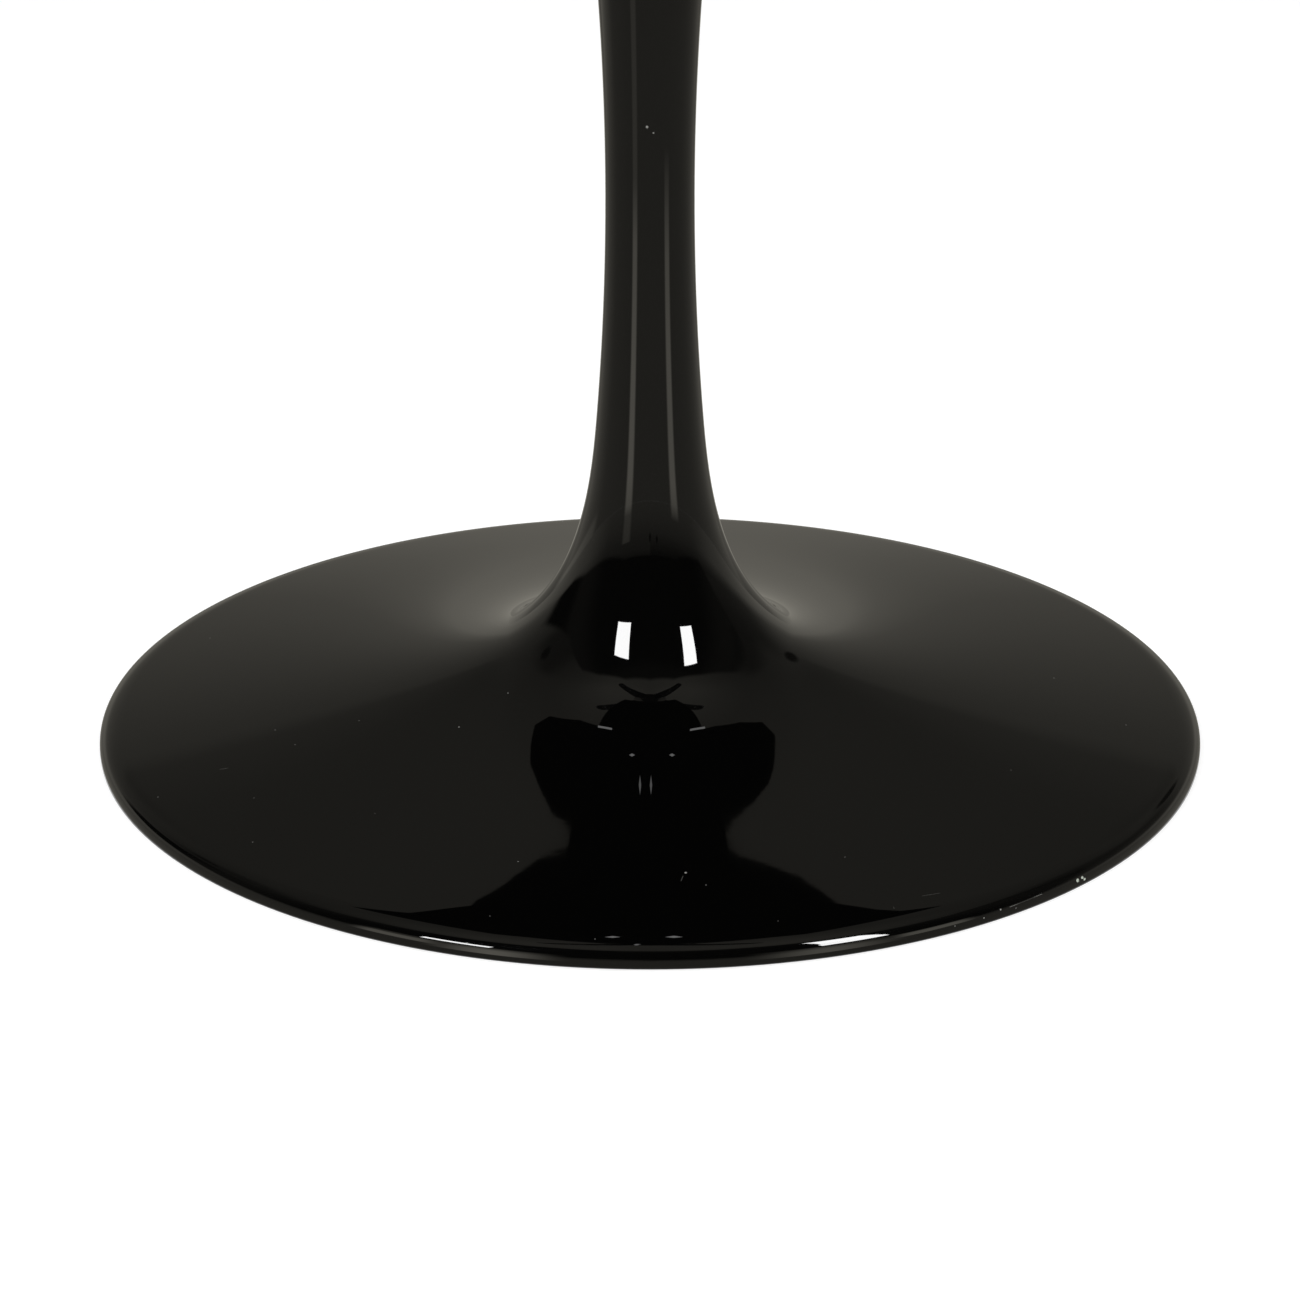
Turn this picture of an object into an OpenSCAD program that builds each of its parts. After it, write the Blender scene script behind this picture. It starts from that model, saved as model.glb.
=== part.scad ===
// Tulip table base: a one-piece cast pedestal whose round foot sweeps up into a slim waisted stem,
// a four-armed spider bolted to its head to carry a round table top, and glides under the rim.
// Millimetres, +Z up. The origin is on the floor, on the axis of the stem.

/* [Foot] */
// Diameter across the rim
foot_d = 680; // [560:10:760]
// Height of the foot where the rolled rim meets its top
edge_h = 13.25; // [12:0.25:18]
// Upright part of the rim below the roll
rim_side_h = 2; // [1.5:0.25:5]
// How far the rolled rim reaches in from the side
roll_w = 15; // [11:0.5:20]
// How far the line of the rim's side is carried up into the roll, as a share of the room for it
side_pull = 0.74; // [0.5:0.02:0.9]
// How far the foot's slope is carried out into the roll, as a share of the roll's reach
roll_pull = 0.69; // [0.4:0.01:0.8]
// Slope of the top where it leaves the rim, in degrees
foot_slope = 7; // [5:0.5:9]
// Bevel at the bottom corner of the rim
rim_bevel = 1; // [0.5:0.25:1.5]
// Width of the solid ring that stands over the floor
land_w = 25; // [23:1:40]
// Casting draft of that ring's inner side, in degrees
land_draft = 8; // [2:1:12]

/* [Flare] */
// Diameter at the middle of the flare
flare_d = 176; // [150:1:210]
// Height of the middle of the flare above the underside of the foot
flare_h = 61; // [54:0.5:72]
// Slope of the middle of the flare, in degrees
flare_slope = 38; // [32:1:44]
// Height at which the flare has become the long curve of the stem
flare_top_h = 202; // [180:1:230]
// How far the rim's slope is carried along the foot, as a share of the foot's curve
foot_pull = 0.46; // [0.3:0.02:0.6]
// How far the flare's slope is carried out along the foot, as a share of the same curve
apron_pull = 0.17; // [0.1:0.01:0.3]
// How far the flare's slope is carried up towards the stem, as a share of the flare's curve
flare_pull = 0.38; // [0.25:0.01:0.45]
// How far the stem's line is carried down into the flare, as a share of the same curve
stem_pull = 0.32; // [0.2:0.01:0.4]

/* [Stem] */
// Diameter at the waist
waist_d = 52.8; // [46:0.4:64]
// Height of the waist above the underside of the foot
waist_h = 342.5; // [310:0.5:380]
// Radius of the long curve that the stem's side follows
stem_curve_r = 1720; // [1500:10:2400]
// Thickness of the cast wall
wall = 6.5; // [5:0.5:8]

/* [Head] */
// Height from the floor to the top of the spider, where a table top rests
base_h = 700; // [640:5:740]
// Thickness of the solid head at the top of the stem
head_t = 28; // [25:1:40]
// Rounding of the head's top edge
head_round = 2.5; // [1:0.5:4]
// Diameter of the core hole through the head
core_d = 40; // [30:1:48]

/* [Spider] */
// Thickness of the hub
hub_t = 12; // [10:0.5:16]
// Diameter of the hub
hub_d = 116; // [108:1:122]
// Hole through the middle of the hub
hub_hole_d = 24; // [16:1:26]
// How far the hub's spigot reaches down into the core hole
spigot_h = 7; // [4:0.5:12]
// Gap between the spigot and the core hole, all round
spigot_gap = 0.2; // [0.1:0.05:0.4]
// Reach of an arm from the axis to the centre of its round tip
arm_reach = 214; // [206:1:240]
// Width of an arm where it leaves the hub
arm_root_w = 62; // [52:1:74]
// Width of an arm's round tip
arm_tip_w = 36; // [28:1:44]
// Thickness of an arm at its tip
arm_tip_t = 7; // [6:0.5:9]
// Circle of the outer holes for the table top's screws
outer_pcd = 400; // [370:5:410]
// Circle of the inner holes for the table top's screws
inner_pcd = 260; // [220:5:300]
// Diameter of those holes
wood_screw_d = 6.5; // [5:0.25:8]
// Diameter of the countersink under each of them
wood_sink_d = 12.5; // [11:0.5:15]

/* [Spider screws] */
// Circle of the screws that hold the spider to the head
screw_pcd = 84; // [80:1:88]
// Thread diameter of these screws
screw_d = 8; // [6:1:8]
// Length of a screw under its head
screw_l = 25; // [18:1:26]
// Diameter of a screw's button head
screw_head_d = 14; // [12:0.5:15]
// Height of that head
screw_head_h = 4.4; // [3.5:0.1:5]
// Width across the flats of the key socket
key_w = 5; // [4:0.5:6]
// Depth of the key socket
key_depth = 2.6; // [2:0.1:3]
// Gap between a screw head and its counterbore, all round
head_gap = 0.5; // [0.3:0.1:1]
// How far a screw head lies below the top face
head_sink = 0.6; // [0.3:0.1:1]
// Gap between a screw and its hole in the hub, all round
shank_gap = 0.5; // [0.3:0.1:0.8]
// Gap between a screw and its tapped hole, all round
thread_gap = 0.1; // [0.05:0.05:0.2]
// Depth of the tapped hole beyond the end of the screw
tap_run_out = 4; // [2:0.5:6]

/* [Glides] */
// Number of glides under the rim
glide_count = 6; // [3:1:12]
// Diameter of a glide's pad
glide_d = 18; // [14:0.5:19]
// Thickness of the pad
glide_t = 3; // [2.5:0.25:4]
// How far the pads hold the rim above the floor
glide_proud = 1; // [0.5:0.25:2]
// Diameter of the stem that is pressed into the rim
peg_d = 7; // [5:0.5:9]
// Length of that stem
peg_l = 6; // [5:0.5:7]
// Gap between the pad and its pocket, all round
pocket_gap = 0.4; // [0.2:0.1:0.6]
// Gap between the stem and its hole, all round
peg_gap = 0.1; // [0.05:0.05:0.2]
// Depth of the hole beyond the end of the stem
peg_run_out = 0.5; // [0.25:0.25:1]
// Metal between a pocket and the side of the rim
pocket_margin = 3.5; // [2.5:0.5:5]

/* [Hidden] */
$fn = 96;
ARMS = 4;
ARM_TURN = 45;
CURVE_STEPS = 26;
ROLL_STEPS = 10;
ROUND_STEPS = 5;
TIP_STEPS = 24;
CUT = 1;
SIDES_OF_KEY = 6;

foot_r = foot_d / 2;
waist_r = waist_d / 2;
// The spider's seat, measured as the pedestal is, from the underside of the foot
head_h = base_h - hub_t - glide_proud;
cavity_h = head_h - head_t;
screw_hole_depth = screw_l - (hub_t - screw_head_h - head_sink) + tap_run_out;
pocket_d = glide_d + 2 * pocket_gap;
pocket_depth = glide_t - glide_proud;
glide_r = foot_r - pocket_margin - pocket_d / 2;

// A cubic curve through four control points, and the direction in which it runs
function curve_at(p, t) = pow(1 - t, 3) * p[0] + 3 * pow(1 - t, 2) * t * p[1]
    + 3 * (1 - t) * t * t * p[2] + t * t * t * p[3];
function curve_run(p, t) = pow(1 - t, 2) * (p[1] - p[0]) + 2 * (1 - t) * t * (p[2] - p[1])
    + t * t * (p[3] - p[2]);
function unit(v) = v / norm(v);

// A station is a point of the outline with the direction in which the outline runs there,
// from the rim inwards and up. Outlines are drawn as [radius, height].
function stations(p, steps) = [for (i = [0 : steps]) [curve_at(p, i / steps), unit(curve_run(p, i / steps))]];
function points(list) = [for (s = list) s[0]];
// The outline set in by the wall, square to the surface
function inner_points(list) = [for (s = list) s[0] - wall * [s[1].y, -s[1].x]];

// The long round curve of the stem, by its angle above and below the waist
function stem_angle(h) = asin((h - waist_h) / stem_curve_r);
function stem_point(a) = [waist_r + stem_curve_r * (1 - cos(a)), waist_h + stem_curve_r * sin(a)];
function stem_run(a) = [sin(a), cos(a)];
function stem_stations(h) = let (a0 = stem_angle(flare_top_h), a1 = stem_angle(h))
    [for (i = [1 : CURVE_STEPS]) let (a = a0 + (a1 - a0) * i / CURVE_STEPS) [stem_point(a), stem_run(a)]];

roll_top = [foot_r - roll_w, edge_h];
roll_end = [foot_r, rim_side_h];
// Where the slope of the foot's top, carried straight on, would meet the side
roll_corner_h = edge_h - roll_w * tan(foot_slope);
// The rim's roll, from the upright side over to the top of the foot
roll_curve = [
    roll_end,
    [foot_r, rim_side_h + (roll_corner_h - rim_side_h) * side_pull],
    roll_top + roll_w * roll_pull * [1, -tan(foot_slope)],
    roll_top
];
flare_point = [flare_d / 2, flare_h];
flare_run = [-cos(flare_slope), sin(flare_slope)];
flare_top = stem_point(stem_angle(flare_top_h));
foot_span = norm(flare_point - roll_top);
flare_span = norm(flare_top - flare_point);
foot_curve = [
    roll_top,
    roll_top + foot_pull * foot_span * [-cos(foot_slope), sin(foot_slope)],
    flare_point - apron_pull * foot_span * flare_run,
    flare_point
];
flare_curve = [
    flare_point,
    flare_point + flare_pull * flare_span * flare_run,
    flare_top - stem_pull * flare_span * stem_run(stem_angle(flare_top_h)),
    flare_top
];

// The rounding of the head's top edge starts where the stem's line meets it
head_lean = stem_angle(head_h);
head_edge_h = head_h - head_round * (1 + sin(head_lean));
head_edge = stem_point(stem_angle(head_edge_h));
head_corner = [head_edge.x - head_round * cos(head_lean), head_h - head_round];

module pedestal_outline() {
    polygon(concat(
        [[0, 0], [foot_r - rim_bevel, 0], [foot_r, rim_bevel]],
        points(stations(roll_curve, ROLL_STEPS)),
        [for (s = stations(foot_curve, CURVE_STEPS)) if (s[0].x < roll_top.x) s[0]],
        [for (s = stations(flare_curve, CURVE_STEPS)) if (s[0].y > flare_h) s[0]],
        points(stem_stations(head_edge_h)),
        [for (i = [1 : ROUND_STEPS]) let (a = -head_lean + (90 + head_lean) * i / ROUND_STEPS)
            head_corner + head_round * [cos(a), sin(a)]],
        [[0, head_h]]
    ));
}

// The hollow inside the casting: open below, and closed above by the head
module pedestal_cavity() {
    under_foot = inner_points(stations(foot_curve, CURVE_STEPS));
    lean = tan(land_draft);
    land_r = foot_r - land_w;
    intersection() {
        polygon(concat(
            [[0, -CUT], [under_foot[0].x, -CUT]],
            under_foot,
            [for (p = inner_points(stations(flare_curve, CURVE_STEPS))) if (p.y > under_foot[CURVE_STEPS].y) p],
            inner_points(stem_stations(cavity_h)),
            [[inner_points(stem_stations(cavity_h))[CURVE_STEPS - 1].x, cavity_h + CUT], [0, cavity_h + CUT]]
        ));
        polygon([
            [0, -CUT],
            [land_r + CUT * lean, -CUT],
            [land_r - cavity_h * lean, cavity_h],
            [0, cavity_h]
        ]);
    }
}

module at_spider_screws() {
    for (i = [0 : ARMS - 1]) rotate(i * 360 / ARMS) translate([screw_pcd / 2, 0, 0]) children();
}

module at_arms() {
    for (i = [0 : ARMS - 1]) rotate(ARM_TURN + i * 360 / ARMS) children();
}

module at_glide(i) {
    rotate(i * 360 / glide_count) translate([glide_r, 0, 0]) children();
}

// A hole for a glide, seen from the underside of the foot
module glide_seat() {
    translate([0, 0, -CUT]) cylinder(d = pocket_d, h = pocket_depth + CUT);
    cylinder(d = peg_d + 2 * peg_gap, h = pocket_depth + peg_l + peg_run_out);
}

module pedestal() {
    color([0.03, 0.03, 0.028])
    translate([0, 0, glide_proud])
    difference() {
        rotate_extrude() difference() {
            pedestal_outline();
            pedestal_cavity();
        }
        translate([0, 0, cavity_h - CUT]) cylinder(d = core_d, h = head_t + 2 * CUT);
        translate([0, 0, head_h - screw_hole_depth])
            at_spider_screws() cylinder(d = screw_d + 2 * thread_gap, h = screw_hole_depth + CUT);
        for (i = [1 : glide_count]) at_glide(i) glide_seat();
    }
}

// Plan of one arm: straight sides that run into a round tip. Its root lies inside the hub.
module arm_plan() {
    root_r = arm_root_w / 2;
    tip_r = arm_tip_w / 2;
    root_x = hub_d / 2 - root_r;
    touch = asin((root_r - tip_r) / (arm_reach - root_x));
    root_side = [root_x + root_r * sin(touch), root_r * cos(touch)];
    polygon(concat(
        [[root_side.x, -root_side.y]],
        [for (i = [0 : TIP_STEPS]) let (a = touch - 90 + (180 - 2 * touch) * i / TIP_STEPS)
            [arm_reach + tip_r * cos(a), tip_r * sin(a)]],
        [root_side]
    ));
}

// Height of an arm's underside above the seat, which rises from the hub to the tip
arm_end = arm_reach + arm_tip_w / 2 + CUT;
function arm_under(x) = max(0, (x - hub_d / 2) * (hub_t - arm_tip_t) / (arm_end - hub_d / 2));

// What is cut away below one arm
module under_arm() {
    translate([0, arm_root_w / 2 + CUT, 0]) rotate([90, 0, 0]) linear_extrude(arm_root_w + 2 * CUT)
        polygon([[hub_d / 2, -CUT], [arm_end, -CUT], [arm_end, arm_under(arm_end)], [hub_d / 2, 0]]);
}

// A screw hole through an arm, countersunk from below
module wood_screw_hole(x) {
    under = arm_under(x);
    sink_h = (wood_sink_d - wood_screw_d) / 2;
    translate([x, 0, -CUT]) cylinder(d = wood_screw_d, h = hub_t + 2 * CUT);
    translate([x, 0, -CUT]) cylinder(d = wood_sink_d, h = under + CUT);
    translate([x, 0, under]) cylinder(d1 = wood_sink_d, d2 = wood_screw_d, h = sink_h);
}

module tabletop_spider() {
    color([0.09, 0.09, 0.09])
    translate([0, 0, base_h - hub_t])
    difference() {
        union() {
            linear_extrude(hub_t) {
                circle(d = hub_d);
                at_arms() arm_plan();
            }
            translate([0, 0, -spigot_h]) cylinder(d = core_d - 2 * spigot_gap, h = spigot_h + CUT);
        }
        translate([0, 0, -spigot_h - CUT]) cylinder(d = hub_hole_d, h = hub_t + spigot_h + 2 * CUT);
        at_spider_screws() {
            translate([0, 0, -CUT]) cylinder(d = screw_d + 2 * shank_gap, h = hub_t + 2 * CUT);
            translate([0, 0, hub_t - screw_head_h - head_sink])
                cylinder(d = screw_head_d + 2 * head_gap, h = screw_head_h + head_sink + CUT);
        }
        at_arms() {
            under_arm();
            wood_screw_hole(outer_pcd / 2);
            wood_screw_hole(inner_pcd / 2);
        }
    }
}

// A button head screw: a domed head over a plain shank with a bevelled end
module spider_screw() {
    dome_r = (screw_head_d * screw_head_d / 4 + screw_head_h * screw_head_h) / (2 * screw_head_h);
    end_bevel = screw_d / 8;
    difference() {
        union() {
            intersection() {
                translate([0, 0, screw_head_h - dome_r]) sphere(r = dome_r);
                cylinder(d = screw_head_d, h = screw_head_h);
            }
            translate([0, 0, end_bevel - screw_l]) cylinder(d = screw_d, h = screw_l - end_bevel + CUT);
            translate([0, 0, -screw_l]) cylinder(d1 = screw_d - 2 * end_bevel, d2 = screw_d, h = end_bevel);
        }
        translate([0, 0, screw_head_h - key_depth])
            cylinder(d = key_w / cos(180 / SIDES_OF_KEY), h = key_depth + CUT, $fn = SIDES_OF_KEY);
    }
}

module spider_screws() {
    color([0.6, 0.6, 0.62])
    translate([0, 0, base_h - head_sink - screw_head_h]) at_spider_screws() spider_screw();
}

// A nylon glide: a pad with a bevelled sole and a stem that holds it in the rim
module floor_glide(i) {
    sole_bevel = glide_proud / 2;
    color([0.12, 0.12, 0.12])
    at_glide(i) {
        rotate_extrude() polygon([
            [0, 0],
            [glide_d / 2 - sole_bevel, 0],
            [glide_d / 2, sole_bevel],
            [glide_d / 2, glide_t],
            [peg_d / 2, glide_t],
            [peg_d / 2, glide_t + peg_l],
            [0, glide_t + peg_l]
        ]);
    }
}

pedestal();
tabletop_spider();
spider_screws();
for (i = [1 : glide_count])
    floor_glide(i);
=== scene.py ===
"""Tulip table base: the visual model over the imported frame, with its studio.
Metres, +Z up. The origin is on the floor, on the axis of the stem."""
import math

import bmesh
import bpy
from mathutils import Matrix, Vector
from mathutils.bvhtree import BVHTree
from mathutils.geometry import delaunay_2d_cdt


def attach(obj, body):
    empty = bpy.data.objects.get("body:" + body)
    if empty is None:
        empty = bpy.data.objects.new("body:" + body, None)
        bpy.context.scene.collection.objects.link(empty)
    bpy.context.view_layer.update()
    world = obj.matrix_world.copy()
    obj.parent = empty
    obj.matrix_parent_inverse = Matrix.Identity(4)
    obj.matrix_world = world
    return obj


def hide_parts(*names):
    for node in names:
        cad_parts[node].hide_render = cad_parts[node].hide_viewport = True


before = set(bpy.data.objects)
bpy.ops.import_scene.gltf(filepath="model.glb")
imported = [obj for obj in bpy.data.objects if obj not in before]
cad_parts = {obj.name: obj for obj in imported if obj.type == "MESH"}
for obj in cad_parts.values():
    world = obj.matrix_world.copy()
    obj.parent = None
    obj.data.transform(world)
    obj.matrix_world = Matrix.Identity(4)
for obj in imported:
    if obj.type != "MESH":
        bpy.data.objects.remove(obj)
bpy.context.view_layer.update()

MM = 0.001
WHITE = (1, 1, 1, 1)

# Sizes, as in the part's source
LIFT = 1 * MM                      # the glides hold the rim this far above the floor
FOOT_R = 340 * MM
EDGE_H, SIDE_H, ROLL_W = 13.25 * MM, 2 * MM, 15 * MM
SIDE_PULL, ROLL_PULL = 0.74, 0.69
RIM_ROUND = 1 * MM
LAND_W, LAND_DRAFT = 25 * MM, math.radians(8)
FOOT_SLOPE, FLARE_SLOPE = math.radians(7), math.radians(38)
FLARE_R, FLARE_H, FLARE_TOP_H = 88 * MM, 61 * MM, 202 * MM
FOOT_PULL, APRON_PULL, FLARE_PULL, STEM_PULL = 0.46, 0.17, 0.38, 0.32
WAIST_R, WAIST_H, STEM_CURVE_R = 26.4 * MM, 342.5 * MM, 1720 * MM
WALL = 6.5 * MM
CEILING_ROUND, LAND_FILLET, LAND_EDGE = 0.8 * MM, 2.5 * MM, 0.5 * MM
HEAD_H, HEAD_T, HEAD_ROUND, CORE_R = 687 * MM, 28 * MM, 2.5 * MM, 20 * MM
TAP_R, TAP_DEPTH, SCREW_CIRCLE_R, HEAD_MOUTH = 4.1 * MM, 22 * MM, 42 * MM, 0.6 * MM
GLIDES, GLIDE_CIRCLE_R = 6, 327.1 * MM
POCKET_R, POCKET_DEPTH, PEG_HOLE_R, PEG_HOLE_DEPTH = 9.4 * MM, 2 * MM, 3.6 * MM, 8.5 * MM
M8_PITCH = 1.25 * MM
SEGMENTS, TAP_SEGMENTS, POCKET_SEGMENTS, GLIDE_SEGMENTS = 240, 40, 48, 56

BASE_H, HUB_T, HUB_R, HUB_HOLE_R = 700 * MM, 12 * MM, 58 * MM, 12 * MM
SPIGOT_R, SPIGOT_H = 19.8 * MM, 7 * MM
ARM_REACH, ARM_ROOT_R, ARM_TIP_R, ARM_TIP_T = 214 * MM, 31 * MM, 18 * MM, 7 * MM
CORNER_RUN, CORNER_ROUND = 2.2 * MM, 3 * MM
BORE_R, BORE_DEPTH, CLEAR_R = 7.5 * MM, 5 * MM, 4.5 * MM
WOOD_R, WOOD_SINK_R, WOOD_SINK, WOOD_CIRCLES = 3.25 * MM, 6.25 * MM, 3 * MM, (200 * MM, 130 * MM)
SPIGOT_EDGE, SPIDER_BEVEL, SPIDER_MOUTH = 0.8 * MM, 0.9 * MM, 0.4 * MM


# Outlines
def cubic(p, steps, first=0):
    """Points of a cubic curve with the direction in which it runs."""
    out = []
    for i in range(first, steps + 1):
        t = i / steps
        s = 1 - t
        point = s ** 3 * p[0] + 3 * s * s * t * p[1] + 3 * s * t * t * p[2] + t ** 3 * p[3]
        run = s * s * (p[1] - p[0]) + 2 * s * t * (p[2] - p[1]) + t * t * (p[3] - p[2])
        out.append((point, run.normalized()))
    return out


def stem_angle(h):
    return math.asin((h - WAIST_H) / STEM_CURVE_R)


def stem_point(a):
    return Vector((WAIST_R + STEM_CURVE_R * (1 - math.cos(a)), WAIST_H + STEM_CURVE_R * math.sin(a)))


def stem_run(a):
    return Vector((math.sin(a), math.cos(a)))


def stem_part(top, steps):
    a0, a1 = stem_angle(FLARE_TOP_H), stem_angle(top)
    turns = [a0 + (a1 - a0) * i / steps for i in range(1, steps + 1)]
    return [(stem_point(a), stem_run(a)) for a in turns]


def curves():
    """Control points of the roll, the foot and the flare."""
    slope = math.tan(FOOT_SLOPE)
    top, side = Vector((FOOT_R - ROLL_W, EDGE_H)), Vector((FOOT_R, SIDE_H))
    corner_h = EDGE_H - ROLL_W * slope
    roll = [side, Vector((FOOT_R, SIDE_H + (corner_h - SIDE_H) * SIDE_PULL)),
            top + ROLL_W * ROLL_PULL * Vector((1, -slope)), top]
    mid, run = Vector((FLARE_R, FLARE_H)), Vector((-math.cos(FLARE_SLOPE), math.sin(FLARE_SLOPE)))
    a = stem_angle(FLARE_TOP_H)
    end = stem_point(a)
    foot_span, flare_span = (mid - top).length, (end - mid).length
    foot = [top, top + FOOT_PULL * foot_span * Vector((-math.cos(FOOT_SLOPE), math.sin(FOOT_SLOPE))),
            mid - APRON_PULL * foot_span * run, mid]
    flare = [mid, mid + FLARE_PULL * flare_span * run, end - STEM_PULL * flare_span * stem_run(a), end]
    return roll, foot, flare


def arc(centre, r, a0, a1, steps):
    """Points of an arc in the plane of the outline, angles in degrees from +r towards +z."""
    turns = [math.radians(a0 + (a1 - a0) * i / steps) for i in range(steps + 1)]
    return [centre + r * Vector((math.cos(a), math.sin(a))) for a in turns]


def rounded(points, which, r, steps=5):
    """The open polyline with the corners named by index replaced with arcs of radius r."""
    out = []
    for i, p in enumerate(points):
        if i not in which:
            out.append(p)
            continue
        u, v = (points[i - 1] - p).normalized(), (points[i + 1] - p).normalized()
        half = math.acos(max(-1, min(1, u.dot(v)))) / 2
        centre = p + (u + v).normalized() * (r / math.sin(half))
        a, b = p + u * (r / math.tan(half)) - centre, p + v * (r / math.tan(half)) - centre
        for k in range(steps + 1):
            out.append(centre + (a * (1 - k / steps) + b * (k / steps)).normalized() * r)
    return out


def outer_outline():
    """From the rim's underside out and up to the edge of the head's flat top."""
    roll, foot, flare = curves()
    lean = stem_angle(HEAD_H)
    edge_h = HEAD_H - HEAD_ROUND * (1 + math.sin(lean))
    edge = stem_point(stem_angle(edge_h))
    corner = Vector((edge.x - HEAD_ROUND * math.cos(lean), HEAD_H - HEAD_ROUND))
    out = arc(Vector((FOOT_R - RIM_ROUND, RIM_ROUND)), RIM_ROUND, -90, 0, 5)
    out += [s[0] for s in cubic(roll, 26) + cubic(foot, 66, 1) + cubic(flare, 62, 1) + stem_part(edge_h, 46)]
    out += arc(corner, HEAD_ROUND, -math.degrees(lean), 90, 6)[1:]
    return out


def inner_outline():
    """From the edge of the cavity's ceiling down to the rim's underside."""
    roll, foot, flare = curves()
    ceiling = HEAD_H - HEAD_T
    walls = cubic(foot, 30) + cubic(flare, 26, 1) + stem_part(ceiling, 22)
    line = [p - WALL * Vector((d.y, -d.x)) for p, d in walls]
    land_r = FOOT_R - LAND_W
    line = [p for p in line if p.x < land_r - p.y * math.tan(LAND_DRAFT) - 2 * MM and p.y < ceiling - 1 * MM]
    meet_h = line[0].y - (land_r - line[0].x) * math.tan(FOOT_SLOPE)
    meet = Vector((land_r - meet_h * math.tan(LAND_DRAFT), meet_h))
    top = Vector((line[-1].x, ceiling))
    land = [meet, Vector((land_r, 0)), Vector((land_r + LAND_W / 2, 0))]
    down = [Vector((CORE_R, ceiling)), top] + line[::-1] + land
    down = rounded(down, {1}, CEILING_ROUND)
    down = rounded(down, {len(down) - 3}, LAND_FILLET)
    down = rounded(down, {len(down) - 2}, LAND_EDGE, 3)
    return down[1:-1]


# Building meshes
class Build:
    """Collects the faces of one piece, then welds them into one mesh."""

    def __init__(self):
        self.verts, self.faces, self.kinds = [], [], []

    def add(self, verts, faces, kind=0):
        base = len(self.verts)
        self.verts += [tuple(v) for v in verts]
        self.faces += [tuple(base + i for i in f) for f in faces]
        self.kinds += [kind] * len(faces)

    def rings(self, rings, kind=0, closed=False):
        """Quads between rings of equal length; each ring is a list of points."""
        n = len(rings[0])
        faces = []
        for i in range(len(rings) - (0 if closed else 1)):
            k = (i + 1) % len(rings)
            faces += [(i * n + j, i * n + (j + 1) % n, k * n + (j + 1) % n, k * n + j) for j in range(n)]
        self.add([p for ring in rings for p in ring], faces, kind)

    def turned(self, outline, centre=(0, 0), segments=SEGMENTS, lift=0.0, kind=0):
        """An outline of (radius, height) turned about an upright axis."""
        self.rings([circle(p[0], centre, segments, p[1] + lift) for p in outline], kind)

    def disc(self, ring, apex, kind=0):
        self.add(list(ring) + [apex], [(j, (j + 1) % len(ring), len(ring)) for j in range(len(ring))], kind)

    def flat(self, loops, height, kind=0, creases=()):
        """A face inside the first loop and outside the others, lifted by height(x, y)."""
        points, edges = [], []
        for loop in loops:
            base = len(points)
            points += [Vector((p[0], p[1])) for p in loop]
            edges += [(base + i, base + (i + 1) % len(loop)) for i in range(len(loop))]
        for a, b in creases:
            edges.append((nearest(points, a), nearest(points, b)))
        verts, _, faces, *_ = delaunay_2d_cdt(points, edges, [], 0, 1e-7)
        kept = []
        for f in faces:
            c = sum((verts[i] for i in f), Vector((0, 0))) / len(f)
            if inside(c, loops[0]) and not any(inside(c, hole) for hole in loops[1:]):
                kept.append(tuple(f))
        self.add([(v.x, v.y, height(v.x, v.y)) for v in verts], kept, kind)

    def piece(self, name, materials, body="root", smooth=32):
        bm = bmesh.new()
        verts = [bm.verts.new(v) for v in self.verts]
        for f, kind in zip(self.faces, self.kinds):
            if len(set(self.verts[i] for i in f)) < 3:
                continue
            face = bm.faces.new([verts[i] for i in f])
            face.material_index = kind
        bmesh.ops.remove_doubles(bm, verts=bm.verts, dist=2e-6)
        loose = [v for v in bm.verts if not v.link_faces]
        bmesh.ops.delete(bm, geom=loose, context="VERTS")
        bmesh.ops.recalc_face_normals(bm, faces=bm.faces)
        for f in bm.faces:
            f.smooth = True
        limit = math.radians(smooth)
        for e in bm.edges:
            e.smooth = e.is_manifold and e.calc_face_angle(0) < limit
        open_edges = sum(1 for e in bm.edges if not e.is_manifold)
        mesh = bpy.data.meshes.new(name)
        bm.to_mesh(mesh)
        bm.free()
        obj = bpy.data.objects.new(name, mesh)
        bpy.context.scene.collection.objects.link(obj)
        for m in materials:
            mesh.materials.append(m)
        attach(obj, body)
        print("piece", name, "faces", len(mesh.polygons), "open edges", open_edges)
        return obj


def circle(r, centre=(0, 0), segments=SEGMENTS, z=None, turn=0.0):
    out = []
    for j in range(segments):
        a = turn + 2 * math.pi * j / segments
        p = (centre[0] + r * math.cos(a), centre[1] + r * math.sin(a))
        out.append(p if z is None else (*p, z))
    return out


def nearest(points, target):
    return min(range(len(points)), key=lambda i: (points[i] - Vector(target)).length)


def inside(p, loop):
    hit = False
    for i in range(len(loop)):
        a, b = loop[i], loop[i - 1]
        if (a[1] > p[1]) != (b[1] > p[1]) and p[0] < (b[0] - a[0]) * (p[1] - a[1]) / (b[1] - a[1]) + a[0]:
            hit = not hit
    return hit


def around(n, r, turn=0.0):
    """Places at even steps on a circle about the axis."""
    return circle(r, segments=n, turn=turn)


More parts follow.
